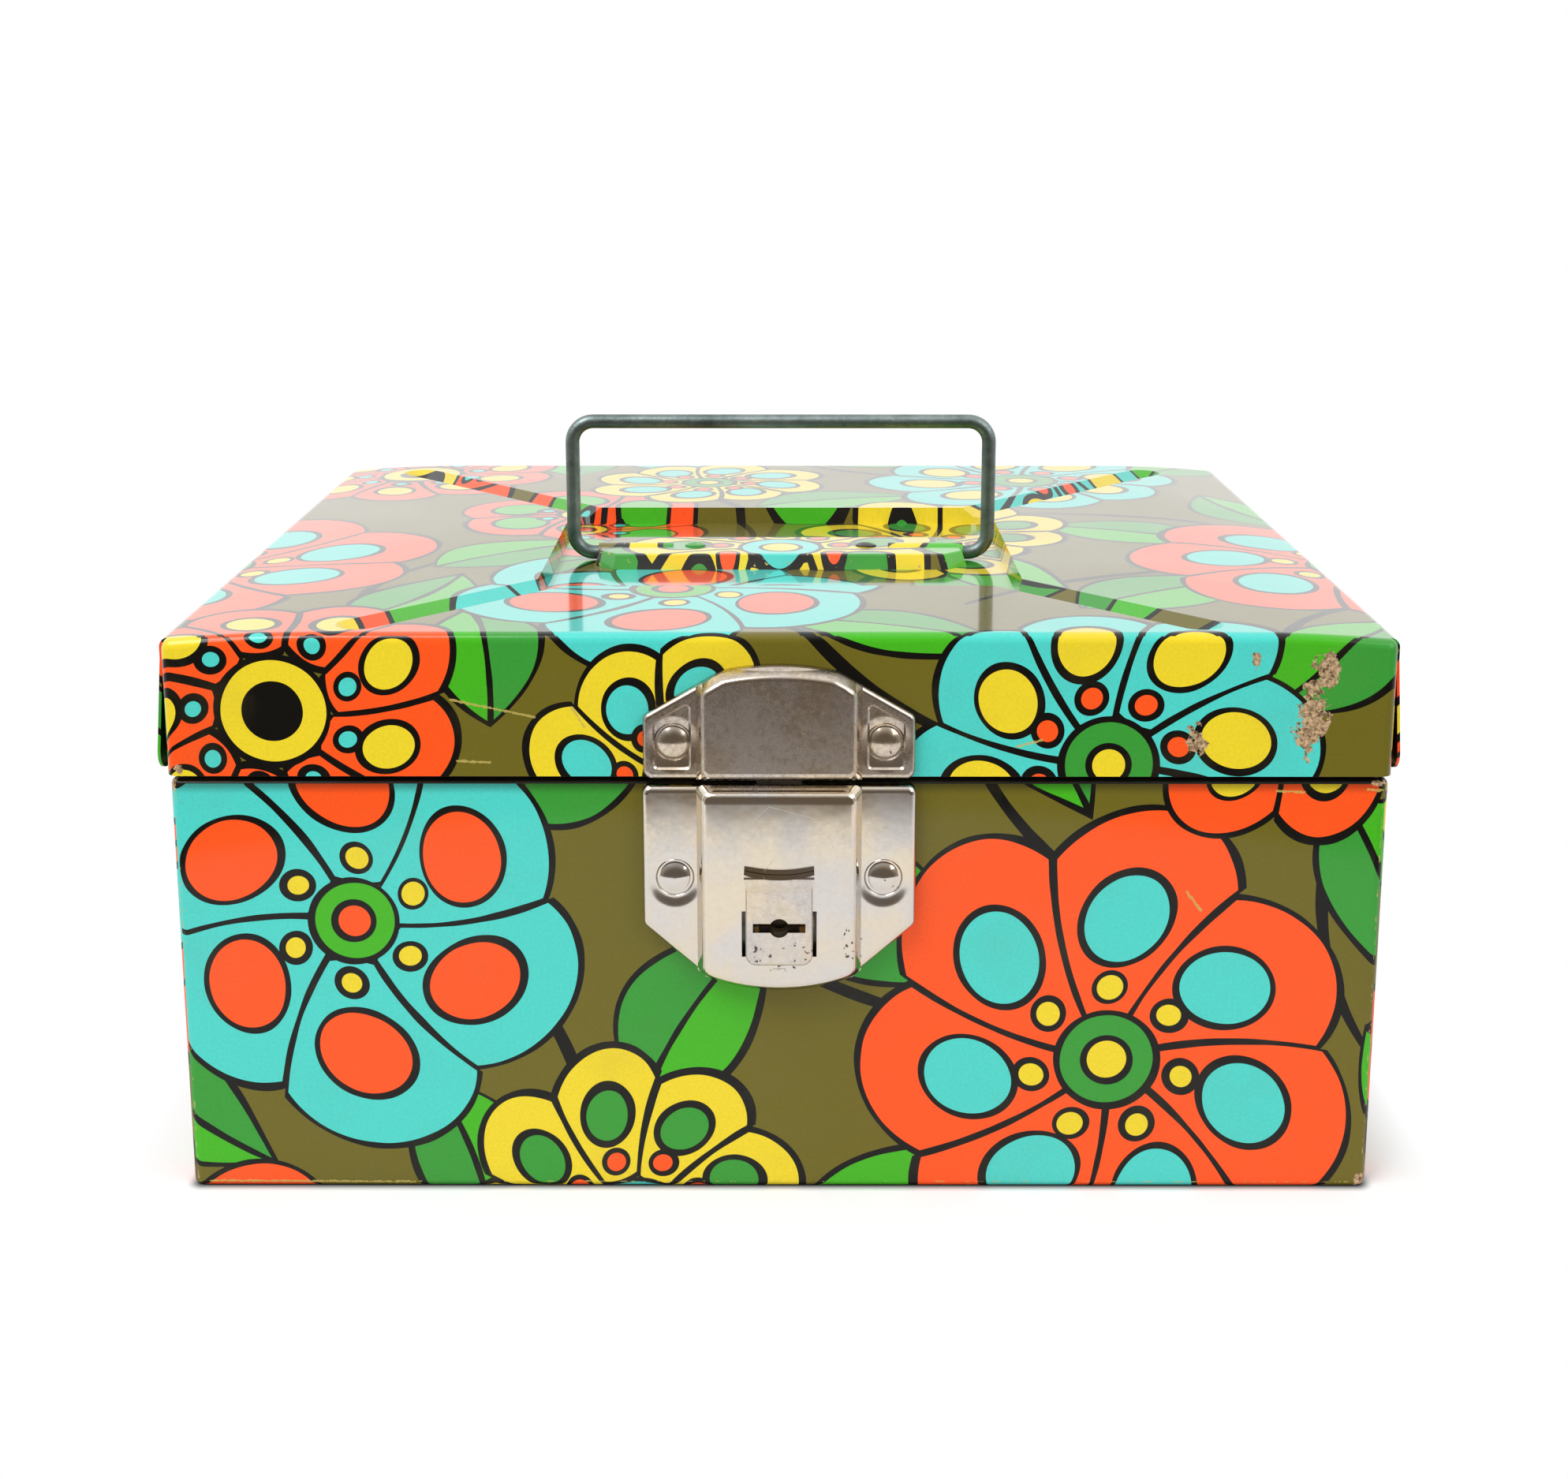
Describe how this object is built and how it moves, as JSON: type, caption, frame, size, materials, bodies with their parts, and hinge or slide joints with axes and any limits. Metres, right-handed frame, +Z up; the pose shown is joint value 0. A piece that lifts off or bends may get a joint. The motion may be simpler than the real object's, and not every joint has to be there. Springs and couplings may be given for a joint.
{
  "type": "lockable card box",
  "caption": "Shallow tinplate card box with a hinged pan lid, a folding wire bail in a bracket, and a nickel-plated catch with a sliding key lock.",
  "frame": {"origin": "middle of the box's flat underside, on the surface it stands on", "axes": "+X along the box's width to the right as seen from the catch, +Y away from the catch towards the hinge, +Z up"},
  "size_m": [0.3149, 0.2743, 0.1887],
  "materials": {
    "printed_tin": "glossy lithographed flowers on an olive ground, scratched and chipped at the edges",
    "nickel_plate": "thin nickel plate over brushed steel, worn and lightly pitted",
    "wire_steel": "dull zinc-plated wire, mottled grey",
    "plain_steel": "plain stamped steel, lightly tarnished",
    "tumbler_brass": "unpolished brass"
  },
  "bodies": {
    "box": {"body_tray": "printed_tin", "hinge_leaf_body": "plain_steel", "hinge_rivets_body": "plain_steel", "hinge_pin": "plain_steel", "lock_case": "nickel_plate", "lock_rivets": "nickel_plate", "lock_back_plate": "plain_steel", "button_spring": "plain_steel"},
    "lid": {"lid_pan": "printed_tin", "hinge_leaf_lid": "plain_steel", "hinge_rivets_lid": "plain_steel", "handle_bracket": "printed_tin", "handle_rivets": "printed_tin", "catch_cover": "nickel_plate", "catch_rivets": "nickel_plate", "hasp": "plain_steel"},
    "bail": {"bail": "wire_steel"},
    "button": {"slide_button": "nickel_plate", "latch_slide": "plain_steel", "tumbler_cup": "plain_steel"},
    "bolt": {"latch_bolt": "plain_steel"},
    "tumbler": {"lock_tumbler": "tumbler_brass"}
  },
  "joints": [
    {"name": "lid_hinge", "type": "hinge", "parent": "box", "child": "lid", "pos_m": [0, 0.13245, 0.1124], "axis": [-1, 0, 0], "range_deg": [0, 110]},
    {"name": "bail_hinge", "type": "hinge", "parent": "lid", "child": "bail", "pos_m": [0, -0.015, 0.1473], "axis": [1, 0, 0], "range_deg": [-90, 90]},
    {"name": "button_slide", "type": "slide", "parent": "box", "child": "button", "axis": [0, 0, -1], "range_m": [0, 0.005], "stiffness_N_per_m": 300, "springref_m": -0.004, "deforming": ["button_spring"]},
    {"name": "bolt_slide", "type": "slide", "parent": "box", "child": "bolt", "axis": [1, 0, 0], "range_m": [0, 0.0036]},
    {"name": "tumbler_turn", "type": "hinge", "parent": "button", "child": "tumbler", "pos_m": [0, -0.1324, 0.0755], "axis": [0, -1, 0], "range_deg": [0, 90]}
  ],
  "couplings": [
    {"joint": "bolt_slide", "follows": "button_slide", "ratio": 0.72}
  ]
}
